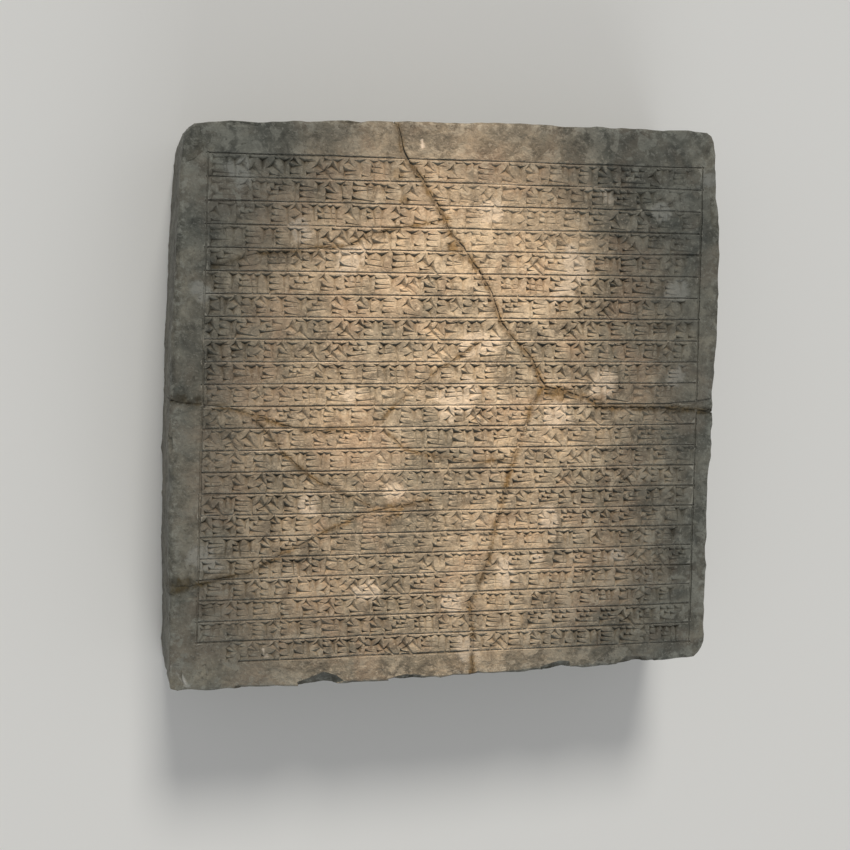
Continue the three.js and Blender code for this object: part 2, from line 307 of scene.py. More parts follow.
# %% Weather the block
face_swell, face_ripple = 0.45 * mm, 0.10 * mm
side_swell, side_rough, side_dent = 0.6 * mm, 0.5 * mm, 1.5 * mm
furrow_depth, furrow_pace, furrow_bend = 0.4 * mm, 420, 3.5
arris_crumble = 0.8 * mm
furrows_from = 8 * mm
flat_back = 6 * mm
dent_pace, crumble_pace = 95, 110


def face_wave(point):
    """How far the smoothed face swells at a point."""
    return face_swell * rough(point, 14, 2) + face_ripple * rough(point, 90, 2)


def side_wave(point):
    """How far a dressed side swells: soft waves, dents of the tool and its slanting furrows."""
    dent = noise.voronoi(point * dent_pace + grain_seed)[0][0] - 0.5
    furrow = math.sin(sum(point) * furrow_pace + furrow_bend * rough(point, 22, 2))
    furrow *= min(1.0, (slab_thickness - point.z) / furrows_from)
    return (side_rough * rough(point, 60, 3) + side_dent * dent + side_swell * rough(point, 16, 2)
            + furrow_depth * furrow)


def weather(mesh):
    """Move every point along its normal. The back stays flat."""
    mesh.normal_update()
    moves = []
    for vertex in mesh.verts:
        point, up = vertex.co, vertex.normal.z
        side = 1 - abs(up)
        amount = face_wave(point) * max(0.0, up) ** 4 + side_wave(point) * side
        amount += arris_crumble * rough(point, crumble_pace) * min(1.0, 4 * side * max(0.0, up))
        moves.append(vertex.normal * amount * min(1.0, point.z / flat_back))
    for vertex, move in zip(mesh.verts, moves):
        vertex.co += move


def finished(name, mesh):
    """A mesh that is drawn point by point, made ready for an object."""
    data = bpy.data.meshes.new(name)
    mesh.to_mesh(data)
    mesh.free()
    return data


weather(block)
bmesh.ops.triangulate(block, faces=[face for face in block.faces if len(face.verts) > 4])
bmesh.ops.recalc_face_normals(block, faces=block.faces[:])
print("weathered faces", len(block.faces), "litres", round(block.calc_volume() * 1000, 2))
slab = put_in_scene("inscribed_slab_stone", finished("inscribed_slab", block))


def face_height(x, y):
    """The height of the wavy face, which the carving follows."""
    return slab_thickness + face_wave(Vector((x, y, slab_thickness)))

# %% [markdown]
# ## The written field
# The mason ruled the field first: 24 lines between two margin lines. The first rows are a little
# taller than the last, and the last row and the line under it start late.

# %% Rule the field
margins = {
    "top_left": (22.7 * mm, 25.3 * mm),
    "top_right": (14.3 * mm, 22.1 * mm),
    "bottom_left": (17.2 * mm, 16.3 * mm),
    "bottom_right": (13.1 * mm, 17.7 * mm),
}
row_count = 23
row_taper = 0.05
rule_overshoot = 1 * mm
last_rule_inset = 24 * mm
last_row_inset = 15 * mm


def ruled_lines():
    """The left and right end of each ruled line, from the first to the last."""
    heights = [1 + row_taper * (1 - 2 * (n + 0.5) / row_count) for n in range(row_count)]
    shares = np.r_[0, np.cumsum(heights)] / sum(heights)
    tl, tr, bl, br = (from_corner(name, *margins[name]) for name in margins)
    return [(tl + (bl - tl) * s, tr + (br - tr) * s) for s in shares]


lines = ruled_lines()
first_row = np.linalg.norm(lines[0][0] - lines[1][0])
print("ruled lines", len(lines), "first row", round(first_row / mm, 2), "mm")

# %% [markdown]
# ## Grooves that follow a path
# Rulings and cracks are both grooves along a path, so one geometry tree makes both. It turns
# each run of edges into a curve, sweeps a V-shaped section along it, and takes it from the stone.
# The runs carry a number each, and the tree splits the sweeps by it, because the solver wants
# cutters that don't overlap inside one mesh.

# %% Paths for the grooves
def keep(mesh, label, kind, values):
    """Keep a value for each point of a mesh as an attribute."""
    mesh.attributes.new(label, kind, "POINT").data.foreach_set("value", values)


def path_object(name, runs):
    """A mesh of edges; each run is a list of (x, y, width) and gets its own number."""
    points, edges, numbers, widths = [], [], [], []
    for number, run in enumerate(runs):
        edges += [(len(points) + i, len(points) + i + 1) for i in range(len(run) - 1)]
        points += [(x, y, face_height(x, y)) for x, y, _ in run]
        widths += [width for _, _, width in run]
        numbers += [number] * len(run)
    mesh = bpy.data.meshes.new(name)
    mesh.from_pydata(points, edges, [])
    keep(mesh, "run", "INT", numbers)
    keep(mesh, "width", "FLOAT", widths)
    return put_in_scene(name, mesh)


wander_waves, press_waves, press_change = 9, 11, 0.6


def ruled(first, last, width, shake, seed, inset=-rule_overshoot, steps=24):
    """A line ruled by hand, nearly straight and even, that runs a little past its last point."""
    way = (last - first) / np.linalg.norm(last - first)
    out = np.array([-way[1], way[0]])
    start, end = first + way * inset, last + way * rule_overshoot
    run = []
    for i in range(steps + 1):
        part = i / steps
        wander = noise.noise(Vector((part * wander_waves, seed * 1.7, 0.5)))
        pressed = noise.noise(Vector((part * press_waves, seed * 3.1, 2.5)))
        x, y = start + (end - start) * part + out * wander * shake
        run.append((x, y, width * (1 + press_change * pressed)))
    return run


rule_width, rule_shake = 0.8 * mm, 0.35 * mm
margin_width, margin_shake = 0.95 * mm, 0.4 * mm
ruling_runs = [ruled(left, right, rule_width, rule_shake, n)
               for n, (left, right) in enumerate(lines[:-1])]
ruling_runs.append(ruled(*lines[-1], rule_width, rule_shake, 40, last_rule_inset, 22))
for column, last in ((0, -2), (1, -1)):
    above, below = lines[0][column], lines[last][column]
    ruling_runs.append(ruled(above, below, margin_width, margin_shake, 50 + column))
ruling_paths = path_object("ruling_paths", ruling_runs)
print("rulings", len(ruling_runs))

# %% [markdown]
# ## The strokes
# A wedge stroke is one blow of a chisel's corner and a drag of its edge: a deep three-sided head
# and a thin tail. The signs are put together from seven patterns. The same chance numbers
# as in the solid pick them, so every bold stroke of the solid is found again here.

# %% Chance numbers and patterns
def number_source(seed):
    """Numbers from 0 to 1 that look random and are the same every time."""
    state = seed

    def draw():
        nonlocal state
        state = state * 16807 % 2147483647
        return state / 2147483647

    return draw


east, south = 0.0, -math.pi / 2
south_east, north_east = -math.pi / 4, math.pi / 4


def post(x, head=1.0, length=1.0):
    return (x, 1.0, south, length, head)


def bar(x, y, length, head=0.85):
    return (x, y, east, length, head)


def stack(width, count):
    bars = 2 + math.floor(count * 2)
    head = 1.2 - 0.16 * bars
    return [bar(0, 0.5 / bars, 0.85 * width, head), post(0.92 * width)] + [
        bar(0, (n + 1.5) / bars, 0.85 * width, head) for n in range(bars - 1)] + [
        post(0.6 * width, 0.7, 0.9)]


def comb(width, count):
    posts = 2 + math.floor(count * 2)
    uprights = [post(width * (n + 0.5) / posts, 1.15 - 0.1 * posts) for n in range(posts)]
    return uprights + [bar(0, 0.3, width, 0.7), bar(0, 0.62, 0.9 * width, 0.6)]


def cross(width, count):
    return [post(0.7 * width), bar(0, 0.3 + 0.2 * count, 0.65 * width, 0.9),
            (0.1 * width, 0.92, south_east, 0.4, 0.8), bar(0.75 * width, 0.15, 0.35 * width, 0.6),
            bar(0.02, 0.12, 0.5 * width, 0.6), bar(0.75 * width, 0.8, 0.35 * width, 0.6)]


def gate(width, count):
    return [post(0.1 * width, 0.9), post(0.92 * width, 0.9)] + [
        bar(0.2 * width, y, 0.6 * width, 0.65) for y in (0.75, 0.45, 0.1 + 0.1 * count)]


def hooks(width, count):
    ticks = 1 + math.floor(count * 3)
    heads = [(0.8 * width * (n + 0.1) / ticks, 0.7 - 0.25 * (n % 2), south_east, 0.5, 1.0)
             for n in range(ticks)]
    return heads + [post(0.92 * width, 0.9, 0.8), bar(0, 0.1, 0.8 * width, 0.6),
                    bar(0.35 * width, 0.92, 0.5 * width, 0.55)]


def pairs(width, count):
    across = 2 + math.floor(count * 2)
    step = width / across
    return ([bar(0, 0.2, width)]
            + [bar(n * step, 0.8, 0.9 * step, 0.75) for n in range(across)]
            + [bar((n + 0.5) * step, 0.5, 0.9 * step, 0.65) for n in range(across - 1)])


def slant(width, count):
    return [(0.05, 0.9, south_east, 0.75, 0.9), post(0.95 * width, 0.9, 0.6 + 0.3 * count),
            (0.05, 0.15, north_east, 0.6, 0.75), bar(0.45 * width, 0.5, 0.4 * width, 0.7),
            bar(0.45 * width, 0.9, 0.35 * width, 0.6), bar(0.45 * width, 0.12, 0.5 * width, 0.6)]


patterns = [(stack, 1.0, 1.4), (comb, 1.0, 1.4), (cross, 1.0, 1.3), (gate, 1.1, 1.5),
            (hooks, 0.8, 1.4), (pairs, 1.0, 1.6), (slant, 1.0, 1.3)]
print("patterns", [pattern[0].__name__ for pattern in patterns])

# %% Set out every stroke
stroke_head = 5 * mm
stroke_depth = 1.7 * mm
sign_gap = 2 * mm
sign_margin = 1.2 * mm


def row_strokes(upper, lower, inset, draw):
    """The strokes of one row: head, direction, length, head width and depth."""
    along = lower[1] - lower[0]
    reach = np.linalg.norm(along)
    way = along / reach
    rise = upper[0] - lower[0]
    up = rise / np.linalg.norm(rise)
    tall = np.linalg.norm(rise) - 2 * sign_margin
    base = lower[0] + up * sign_margin
    tilt = math.atan2(way[1], way[0])
    cursor = inset + sign_gap
    strokes = []
    while True:
        pattern, narrow, broad = patterns[math.floor(draw() * len(patterns))]
        width = narrow + (broad - narrow) * draw()
        count = draw()
        if cursor + width * tall > reach:
            return strokes
        for x, y, angle, length, head in pattern(width, count):
            place = base + way * (cursor + x * tall) + up * y * tall
            strokes.append((place, angle + tilt, length * tall, head * stroke_head,
                            stroke_depth * math.sqrt(head)))
        cursor += width * tall + sign_gap


draw = number_source(4711)
strokes = []
for n in range(row_count):
    inset = last_row_inset if n == row_count - 1 else 0
    strokes += row_strokes(lines[n], lines[n + 1], inset, draw)
print("strokes", len(strokes))

# %% [markdown]
# No two blows of a hand are alike, so each stroke gets its own small turn, length and depth from
# a second source of chance. Where the face is worn, all strokes are shallower.

# %% Strokes as points
cutter_reaches = (1.3, 2.0, 2.8)
cutter_limits = (1.6, 2.4)
across_waver, along_waver = 0.45 * mm, 0.4 * mm
head_waver, depth_waver, length_waver, turn_waver = 0.16, 0.2, 0.12, 0.14
small_head, head_gain, depth_gain, shortest = 0.86, 0.68, 1.14, 1.15
usual_wear, wear_change, wear_pace = 0.85, 0.45, 16
least_cut, most_cut = 0.5, 1.15


def stroke_points():
    """A mesh of points that carry the direction and size of each stroke."""
    hand = number_source(90210)

    def wobble(amount):
        return amount * (2 * hand() - 1)

    mesh = bpy.data.meshes.new("stroke_points")
    places, turns, sizes, kinds = [], [], [], []
    for (x, y), angle, length, head, depth in strokes:
        x, y = x + wobble(across_waver), y + wobble(along_waver)
        wear = usual_wear + wear_change * rough(Vector((x, y, 0.7)), wear_pace, 2)
        head *= (small_head + head_gain * head / stroke_head) * (1 + wobble(head_waver))
        depth *= depth_gain * max(least_cut, min(most_cut, wear)) * (1 + wobble(depth_waver))
        length = max(length * (1 + wobble(length_waver)), shortest * head)
        kind = sum(length / head >= limit for limit in cutter_limits)
        places.append((x, y, face_height(x, y)))
        turns.append(angle + wobble(turn_waver))
        sizes.append((length / cutter_reaches[kind], head, depth))
        kinds.append(kind)
    mesh.from_pydata(places, [], [])
    keep(mesh, "turn", "FLOAT", turns)
    keep(mesh, "kind", "INT", kinds)
    size = mesh.attributes.new("size", "FLOAT_VECTOR", "POINT")
    size.data.foreach_set("vector", np.array(sizes).ravel())
    print("short, middling and long strokes", [kinds.count(kind) for kind in range(3)])
    return put_in_scene("stroke_points", mesh)


stroke_holder = stroke_points()

# %% [markdown]
# The cutter of one stroke has the head at its origin and its tail along X. There are three: a
# short, a middling and a long one, so that a long tail doesn't stretch the head. A cutter has to
# stand out of the face, so its outline is opened above the face by the slope of its own walls.

# %% Cutters for the strokes
def stroke_cutter(name, reach):
    """A wedge of width 1 and depth 1. Each line of it runs from the face to a low point."""
    clear = 0.45
    pit, bend, end = np.array([(0.23, 0, -1), (0.66, 0, -0.46), (reach - 0.12, 0, -0.2)])
    surface = [((0.0, 0.5), pit), ((0.07, 0.0), pit), ((0.0, -0.5), pit), ((0.30, -0.29), pit),
               ((0.66, -0.14), bend), ((reach, -0.06), end), ((reach, 0.06), end),
               ((0.66, 0.14), bend), ((0.30, 0.29), pit)]
    mesh = bmesh.new()
    spots = []
    for (x, y), low in surface:
        opened = clear / -low[2]
        spots.append(mesh.verts.new((x + (x - low[0]) * opened, y + (y - low[1]) * opened, clear)))
    spots += [mesh.verts.new(low) for low in (pit, bend, end)]
    walls = [(0, 1, 9), (1, 2, 9), (2, 3, 9), (3, 4, 9), (7, 8, 9), (8, 0, 9), (4, 10, 9), (10, 7, 9),
             (4, 5, 11), (4, 11, 10), (11, 6, 7), (11, 7, 10), (5, 6, 11)]
    lid = [(0, 8, 1), (1, 8, 3), (1, 3, 2), (8, 7, 3), (3, 7, 4), (7, 6, 4), (6, 5, 4)]
    for corners in walls + lid:
        mesh.faces.new([spots[i] for i in corners])
    bmesh.ops.recalc_face_normals(mesh, faces=mesh.faces[:])
    return bpy.data.objects.new(name, finished(name, mesh))


cutter_shelf = bpy.data.collections.new("stroke_cutters")
bpy.context.scene.collection.children.link(cutter_shelf)
for name, reach in zip(("cutter_1_short", "cutter_2_middling", "cutter_3_long"), cutter_reaches):
    cutter_shelf.objects.link(stroke_cutter(name, reach))

# %% [markdown]
# ## Cracks and chips
# The slab broke into three large pieces and was joined again. The joints are filled almost level,
# so the cracks are shallow and wander, with hairlines beside them. Chips are shell-shaped flakes,
# the largest of them along the lower edge.

# %% Cracks
# Each crack is a run of places, in shares of half the slab's width and height from its middle.
crack_points = {
    "upper": [(-0.232, 1.03), (-0.2, 0.885), (-0.174, 0.834), (-0.145, 0.811), (-0.064, 0.683),
              (-0.02, 0.597), (0.028, 0.546), (0.122, 0.407), (0.161, 0.301), (0.2, 0.248),
              (0.287, 0.16), (0.315, 0.088), (0.335, 0.063)],
    "right": [(0.335, 0.063), (0.391, 0.052), (0.506, 0.016), (0.545, -0.013), (0.7, -0.013),
              (0.896, -0.02), (1.03, -0.028)],
    "lower": [(0.335, 0.063), (0.31, 0.04), (0.28, -0.021), (0.263, -0.093), (0.228, -0.184),
              (0.194, -0.31), (0.177, -0.401), (0.16, -0.455), (0.136, -0.565), (0.101, -0.673),
              (0.072, -0.709), (0.083, -0.856), (0.086, -1.03)],
    "left": [(0.09, 0.229), (-0.196, 0.015), (-0.301, -0.091), (-0.547, -0.091),
             (-0.787, -0.014), (-1.03, 0.013)],
    "lower_left": [(-0.082, -0.343), (-0.297, -0.382), (-0.403, -0.427), (-0.543, -0.494),
                   (-0.715, -0.585), (-0.868, -0.62), (-1.03, -0.658)],
    "far_upper": [(-0.848, 0.463), (-0.723, 0.509), (-0.57, 0.53), (-0.38, 0.552), (-0.259, 0.607),
                  (-0.135, 0.628), (-0.028, 0.658)],
    "diagonal": [(-0.7, -0.055), (-0.65, -0.12), (-0.598, -0.178), (-0.493, -0.266),
                 (-0.297, -0.36)],
    "middle": [(-0.248, -0.092), (-0.175, -0.163), (-0.085, -0.181), (0.062, -0.209), (0.2, -0.202)],
}
crack_widths = {"upper": 1.3, "right": 1.2, "lower": 1.0, "left": 0.6, "lower_left": 0.7,
                "far_upper": 0.4, "diagonal": 0.5, "middle": 0.4}
crack_edges = {"upper": "top", "right": "right", "lower": "bottom", "left": "left",
               "lower_left": "left"}
crack_fall = 60 * mm
crack_step, crack_jag = 3 * mm, 0.9 * mm
jag_pace, gape_pace = 300, 110
least_gape, usual_gape, gape_change = 0.3, 0.8, 1.1
half_size = np.array([slab_width / 2, slab_height / 2])


def crack_run(name):
    """The points of a crack at short steps, with a jagged wander and a changing width."""
    points = np.array(crack_points[name]) * half_size
    lengths = np.r_[0, np.cumsum(np.linalg.norm(np.diff(points, axis=0), axis=1))]
    steps = int(lengths[-1] / crack_step)
    run = []
    for i in range(steps + 1):
        place = lengths[-1] * i / steps
        x, y = (np.interp(place, lengths, points[:, k]) for k in (0, 1))
        jag = 0.0 if i in (0, steps) else crack_jag
        x += jag * noise.noise(Vector((x * jag_pace, y * jag_pace, 1.0)))
        y += jag * noise.noise(Vector((x * jag_pace, y * jag_pace, 9.0)))
        gape = usual_gape + gape_change * noise.noise(Vector((x * gape_pace, y * gape_pace, 4.0)))
        run.append((x, y, crack_widths[name] * mm * max(least_gape, gape)))
    return run


crack_runs = [crack_run(name) for name in crack_points]
crack_paths = path_object("crack_paths", crack_runs)
print("cracks", len(crack_runs))

# %% Chips
# Each chip has its edge, how far along the edge it lies, and its half sizes in millimetres.
chip_list = [
    ("bottom", 0.27, (14, 7.5, 9)), ("bottom", 0.43, (11, 4.0, 7)), ("bottom", 0.73, (10, 4.5, 6)),
    ("bottom", 0.89, (12, 5.0, 8)), ("right", 0.485, (26, 3.6, 0.9)), ("right", 0.9, (7, 20, 4)),
    ("left", 0.0, (11, 13, 1.7)), ("left", 0.83, (14, 5.0, 0.9)), ("left", 1.0, (10, 12, 1.8)),
    ("bottom", 0.12, (6, 2.2, 3)), ("bottom", 0.57, (5, 2.0, 3)), ("top", 0.3, (7, 2.0, 2)),
    ("top", 0.72, (9, 2.4, 2)), ("top", 0.93, (10, 3.5, 2.5)), ("left", 0.2, (2.5, 9, 2)),
    ("left", 0.55, (2.2, 8, 2.2)), ("right", 0.2, (2.4, 8, 2)), ("right", 0.68, (2.6, 10, 2.4)),
]
flake_radius = 1.05
big_ripple, big_pace = 0.42, 1.7
small_ripple, small_pace = 0.2, 4.3

losses = bmesh.new()
number_layer = losses.verts.layers.int.new("run")
edge_of = dict(zip(edge_names, slab_edges()))


def add_chip(number, edge, along, size):
    """A rippled ball, flattened to the chip's size. Its number keeps it apart from the others."""
    x, y = edge_point(edge_of[edge], along)
    for vertex in bmesh.ops.create_icosphere(losses, subdivisions=2, radius=flake_radius)["verts"]:
        spot = vertex.co.copy()
        ripple = 1 + big_ripple * noise.noise(spot * big_pace + Vector((number * 3.7, 0, 0)))
        ripple += small_ripple * noise.noise(spot * small_pace + Vector((0, number * 2.3, 0)))
        vertex.co = spot * Vector(size) * ripple * mm + Vector((x, y, slab_thickness))
        vertex[number_layer] = number


for number, chip in enumerate(chip_list):
    add_chip(number, *chip)
print("chips", len(chip_list))

# %% Breaks down the sides
break_steps = 18
break_jag, jag_waves = 1.6 * mm, 7
least_open, open_gain, open_more = 0.15, 0.55, 0.25
break_depth, least_depth = 0.6 * arris, 0.3 * mm


def break_rings(name):
    """Where a crack leaves the face it runs on down the side: three points at each height."""
    edge = edge_of[crack_edges[name]]
    points = np.array(crack_points[name]) * half_size
    goal = points[0] if name == "upper" else points[-1]
    reach = edge["stop"] - edge["start"]
    share = float(np.clip((goal - edge["start"]) @ reach / (reach @ reach), 0, 1))
    at = edge_point(edge, share)
    rings = []
    for step in range(break_steps + 1):
        part = step / break_steps
        jag = break_jag * noise.noise(Vector((part * jag_waves, share * 31, 2.0))) * min(1.0, 6 * part)
        half = max(least_open, 1 - part) * (open_gain * crack_widths[name] + open_more) * mm
        deep = break_depth * (1 - part) ** 0.6 + least_depth
        middle = at + edge["way"] * jag
        lips = [middle - edge["way"] * half, middle + edge["way"] * half]
        height = slab_thickness + 1 * mm - part * crack_fall
        rings.append([(*(lip + edge["out"] * mm), height) for lip in lips]
                     + [(*(middle - edge["out"] * deep), height)])
    return rings


def add_break(number, name):
    """A closed wedge down the side, with the next number after the chips."""
    rings = [[losses.verts.new(point) for point in three] for three in break_rings(name)]
    made = [losses.faces.new(rings[0]), losses.faces.new(rings[-1])]
    for upper, lower in zip(rings[:-1], rings[1:]):
        for i in range(3):
            j = (i + 1) % 3
            made.append(losses.faces.new([upper[i], lower[i], lower[j], upper[j]]))
    for vertex in (vertex for three in rings for vertex in three):
        vertex[number_layer] = number
    bmesh.ops.recalc_face_normals(losses, faces=made)


for number, name in enumerate(crack_edges, start=len(chip_list)):
    add_break(number, name)
chip_holder = put_in_scene("chips", finished("chips", losses))
print("breaks", list(crack_edges))

# %% [markdown]
# ## One tree carves it all
# The tree takes the block, puts a cutter on every stroke point, sweeps the rulings and cracks,
# splits chips and sweeps by their numbers, and takes everything away in one cut. A subtraction is
# the right tool here, because the walls of a chiselled stroke are crisp and meet in sharp lines.

# %% Begin the tree
def new_tree(name, sockets):
    """A geometry tree with named inputs, each with its type and its standard value."""
    tree = bpy.data.node_groups.new(name, "GeometryNodeTree")
    tree.interface.new_socket("Geometry", in_out="OUTPUT", socket_type="NodeSocketGeometry")
    tree.interface.new_socket("Geometry", in_out="INPUT", socket_type="NodeSocketGeometry")
    for label, kind, value in sockets:
        socket = tree.interface.new_socket(label, in_out="INPUT", socket_type="NodeSocket" + kind)
        if value is not None:
            socket.default_value = value
    return tree


def add_node(tree, kind, inputs=(), **settings):
    """A node with its settings. An input gets a value, or a link from another node's output."""
    node = tree.nodes.new(kind)
    for name, value in settings.items():
        setattr(node, name, value)
    for target, value in inputs:
        if isinstance(value, bpy.types.NodeSocket):
            tree.links.new(value, node.inputs[target])
        else:
            node.inputs[target].default_value = value
    return node


def maths(tree, kind, first, second):
    """One operation on two values."""
    return add_node(tree, "ShaderNodeMath", [(0, first), (1, second)], operation=kind).outputs[0]


carving = new_tree("carve_slab", [
    ("Strokes", "Object", None), ("Cutters", "Collection", None), ("Rulings", "Object", None),
    ("Cracks", "Object", None), ("Chips", "Object", None), ("Ruling Depth", "Float", 0.19),
    ("Crack Depth", "Float", 0.36), ("Stone", "Material", None)])
given = carving.nodes.new("NodeGroupInput").outputs
print("inputs", [socket.name for socket in given if socket.name])


def carve_node(kind, inputs=(), **settings):
    """A geometry node of the carving tree."""
    return add_node(carving, "GeometryNode" + kind, inputs, **settings)


def named(name, kind):
    """The value of a named attribute."""
    return carve_node("InputNamedAttribute", [("Name", name)], data_type=kind).outputs["Attribute"]


def shape_of(label):
    """The shape of the object that an input names."""
    return carve_node("ObjectInfo", [("Object", given[label])]).outputs["Geometry"]

# %% Sweep the rulings and cracks
def vee_section(depth, lift=0.5):
    """A V one unit wide: a triangle that stands out of the face above and is pointed below."""
    half = maths(carving, "ADD", maths(carving, "DIVIDE", 0.5 * lift, depth), 0.5)
    corners = [(0.0, maths(carving, "MULTIPLY", depth, -1)), (half, lift),
               (maths(carving, "MULTIPLY", half, -1), lift)]
    index = carving.nodes.new("GeometryNodeInputIndex").outputs[0]
    pick = carve_node("IndexSwitch", [("Index", index)], data_type="VECTOR")
    pick.index_switch_items.new()
    for slot, (x, y) in enumerate(corners, start=1):
        corner = add_node(carving, "ShaderNodeCombineXYZ", [("X", x), ("Y", y)])
        carving.links.new(corner.outputs[0], pick.inputs[slot])
    triangle = carve_node("MeshCircle", [("Vertices", 3)], fill_type="NONE")
    moved = carve_node("SetPosition", [("Geometry", triangle.outputs["Mesh"]),
                                       ("Position", pick.outputs[0])])
    return carve_node("MeshToCurve", [("Mesh", moved.outputs["Geometry"])]).outputs["Curve"]


def split_by_run(shape):
    """One instance for each run, so that cutters don't overlap inside one mesh."""
    return carve_node("SplitToInstances", [
        ("Geometry", shape), ("Group ID", named("run", "INT"))], domain="POINT").outputs["Instances"]


def groove(label, depth):
    """The sweep of a V along every run of an object."""
    curve = carve_node("MeshToCurve", [("Mesh", shape_of(label))])
    sweep = carve_node("CurveToMesh", [
        ("Curve", curve.outputs["Curve"]), ("Profile Curve", vee_section(given[depth])),
        ("Scale", named("width", "FLOAT")), ("Fill Caps", True)])
    return split_by_run(sweep.outputs["Mesh"])


ruling_sweeps = groove("Rulings", "Ruling Depth")
crack_sweeps = groove("Cracks", "Crack Depth")
print("nodes for the grooves", len(carving.nodes))

# %% Put a cutter on every stroke
points = carve_node("MeshToPoints", [("Mesh", shape_of("Strokes"))])
shelf = carve_node("CollectionInfo", [
    ("Collection", given["Cutters"]), ("Separate Children", True)])
facing = add_node(carving, "ShaderNodeCombineXYZ", [("Z", named("turn", "FLOAT"))])
blows = carve_node("InstanceOnPoints", [
    ("Points", points.outputs["Points"]), ("Instance", shelf.outputs["Instances"]),
    ("Pick Instance", True), ("Instance Index", named("kind", "INT")),
    ("Rotation", facing.outputs["Vector"]), ("Scale", named("size", "FLOAT_VECTOR"))])
print("nodes with the strokes", len(carving.nodes))

# %% Cut, make real and give the stone
cutters = carve_node("JoinGeometry")
chip_shapes = split_by_run(shape_of("Chips"))
for source in (blows.outputs["Instances"], ruling_sweeps, crack_sweeps, chip_shapes):
    carving.links.new(source, cutters.inputs["Geometry"])
cut = carve_node("MeshBoolean", [
    ("Mesh 1", given["Geometry"]), ("Mesh 2", cutters.outputs["Geometry"])],
    operation="DIFFERENCE", solver="MANIFOLD")
real = carve_node("RealizeInstances", [("Geometry", cut.outputs["Mesh"])])
finish = carve_node("SetMaterial", [
    ("Geometry", real.outputs["Geometry"]), ("Material", given["Stone"])])
add_node(carving, "NodeGroupOutput", [("Geometry", finish.outputs["Geometry"])])
print("nodes of the whole tree", len(carving.nodes))

# %% Carve the block
stone = bpy.data.materials.new("veined_stone")
carver = slab.modifiers.new("carve", "NODES")
carver.node_group = carving
given_values = {"Strokes": stroke_holder, "Cutters": cutter_shelf, "Rulings": ruling_paths,
                "Cracks": crack_paths, "Chips": chip_holder, "Stone": stone}
identifiers = {item.name: item.identifier for item in carving.interface.items_tree}
for label, value in given_values.items():
    carver[identifiers[label]] = value
bpy.context.view_layer.update()
carved = bpy.data.meshes.new_from_object(slab.evaluated_get(bpy.context.evaluated_depsgraph_get()))
triangles = sum(len(face.vertices) - 2 for face in carved.polygons)
print("carved faces", len(carved.polygons), "triangles", triangles)
slab.modifiers.remove(carver)
slab.data = carved
for helper in (stroke_holder, ruling_paths, crack_paths, chip_holder, *cutter_shelf.objects):
    bpy.data.objects.remove(helper)
bpy.data.collections.remove(cutter_shelf)

# %% Shade it
# The cut leaves an empty material slot before the stone's, which is taken out.
crisp_angle = math.radians(24)
carved.materials.pop(index=0)
carved.shade_smooth()
carved.set_sharp_from_angle(angle=crisp_angle)
print("materials", carved.materials.keys(), {face.material_index for face in carved.polygons})

# %% [markdown]
# ## What the surface remembers
# Dirt gathers at the bottom of strokes, and the colour there is also darkened as painted shade in the
# pits; the cracks are filled with something brown, and pale patches lie where the crystals are larger.
# Each of these is measured on the mesh once and kept as an attribute. For cracks, rulings and white
# marks that is a distance in centimetres, which stays sharp between points. The sides and the crumbled
# edge get a number too, to look rougher.

# %% Pale patches, brown spots and white marks
# Places on the face in millimetres from its middle; the third number is how far a patch reaches.
pale_patches = [
    (140, 71, 7), (140, 18, 6), (91, 127, 4), (128, 117, 5), (73, 84, 8), (67, 69, 8), (93, 13, 7),
    (66, -9, 7), (15, 34, 9), (3, 2, 12), (34, -99, 6), (55, -93, 4), (0, -121, 6), (7, -148, 7),
    (61, -70, 7), (-52, -112, 5), (-86, -59, 5), (-35, -51, 5), (-63, 4, 5), (-93, 98, 6),
    (-67, 83, 9), (-147, -87, 7), (-151, 64, 6), (-127, 131, 7), (128, -109, 5), (104, -93, 5),
    (20, 112, 6), (159, 137, 5),
]
brown_spots = [(-163, -105, 4), (-155, -104, 2.5), (-160, 3, 2), (-150, 1, 1.5), (-36, 133, 1.5),
               (-32, 118, 1.5), (-3, 92, 2), (4, 88, 1.5), (60, 7, 2), (66, 5, 1.5), (90, 1, 1.5),
               (-34, -63, 2), (-40, -68, 1.5), (-52, -14, 1.5)]
white_marks = [
    [(-111.6, -144.3), (-110.4, -147.9)],
    [(-22.6, 153.5), (-22.3, 149.5)],
    [(-164.5, -152.1), (-159.3, -157.6), (-154.8, -164.3)],
]
print("pale patches", len(pale_patches), "brown spots", len(brown_spots))

# %% How deep each point lies
dirt_and_shade_from, dirt_and_shade_full, carved_depth = 0.25 * mm, 1.5 * mm, 3 * mm
edge_band = 6 * mm
rim_dirt_and_shade = 0.25

co = np.empty(len(carved.vertices) * 3)
carved.vertices.foreach_get("co", co)
co = co.reshape(-1, 3)
flat = co[:, :2]
face_level = np.array([face_height(x, y) for x, y in flat])
below = np.clip(face_level - co[:, 2], 0, None)
near_top = co[:, 2] > slab_thickness - edge_band
edge_gap = np.min([np.linalg.norm(flat[:, None, :] - ring[None, i::8, :], axis=2).min(axis=1)
                   for i in range(8)], axis=0)
# Points down to 3 mm below the face get darker with depth: partly dirt, partly painted shade in the
# pits. Near the edges, where chips cut deep, this darkening is weaker.
pit_dirt_and_shade = np.where(below < carved_depth, np.clip((below - dirt_and_shade_from) / dirt_and_shade_full, 0, 1), 0.0)
pit_dirt_and_shade = np.where(edge_gap < edge_band, rim_dirt_and_shade * pit_dirt_and_shade, pit_dirt_and_shade)
print("deepest", round(below[below < carved_depth].max() / mm, 2), "mm")

# %% How far the cracks, rulings and marks are
too_far = 10 * mm
side_fade = 0.07
faint_by, spot_away = 0.9 * mm, 0.8 * mm


